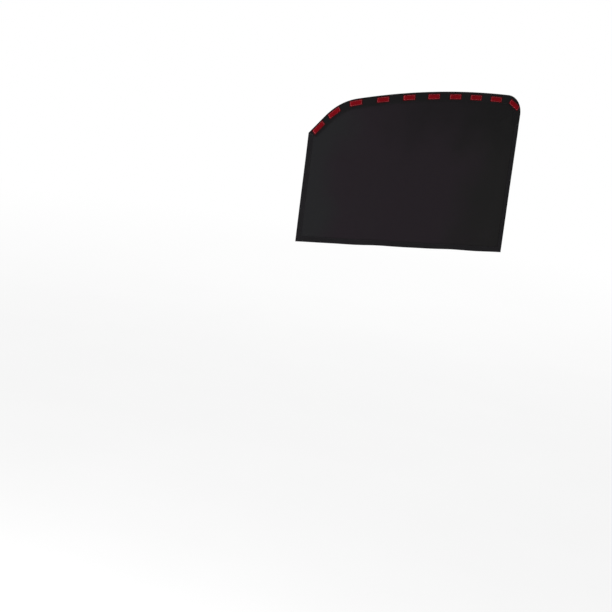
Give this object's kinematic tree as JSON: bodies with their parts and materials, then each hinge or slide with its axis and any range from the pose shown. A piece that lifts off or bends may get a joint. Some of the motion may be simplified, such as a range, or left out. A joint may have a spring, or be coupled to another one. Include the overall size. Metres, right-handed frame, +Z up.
{
  "type": "car side window sunshade",
  "caption": "Black cloth sunshade for a car's rear side window, with an arched hem band of red magnet pockets that hold it to the steel window frame.",
  "frame": {"origin": "on the back of the hem band, behind the sixth magnet from the left, the one nearest mid-width", "axes": "+X to the right along the shade's width, seen from the room side; +Y out of the back, towards the window; +Z up"},
  "size_m": [0.7064, 0.0089, 0.4433],
  "materials": {
    "shade_cloth": "matt woven blackout polyester",
    "hem_band_cloth": "matt woven polyester band",
    "edge_tape_cloth": "matt ribbed edging tape",
    "pocket_cloth": "dark red woven patch with a red stitched border",
    "magnet_nickel": "nickel-plated bar magnet"
  },
  "bodies": {
    "root": {"shade_cloth": "shade_cloth", "hem_band": "hem_band_cloth", "edge_tape": "edge_tape_cloth", "magnet_01": "magnet_nickel", "magnet_02": "magnet_nickel", "magnet_03": "magnet_nickel", "magnet_04": "magnet_nickel", "magnet_05": "magnet_nickel", "magnet_06": "magnet_nickel", "magnet_07": "magnet_nickel", "magnet_08": "magnet_nickel", "magnet_09": "magnet_nickel", "magnet_10": "magnet_nickel", "magnet_pocket_01": "pocket_cloth", "magnet_pocket_02": "pocket_cloth", "magnet_pocket_03": "pocket_cloth", "magnet_pocket_04": "pocket_cloth", "magnet_pocket_05": "pocket_cloth", "magnet_pocket_06": "pocket_cloth", "magnet_pocket_07": "pocket_cloth", "magnet_pocket_08": "pocket_cloth", "magnet_pocket_09": "pocket_cloth", "magnet_pocket_10": "pocket_cloth"}
  },
  "joints": []
}
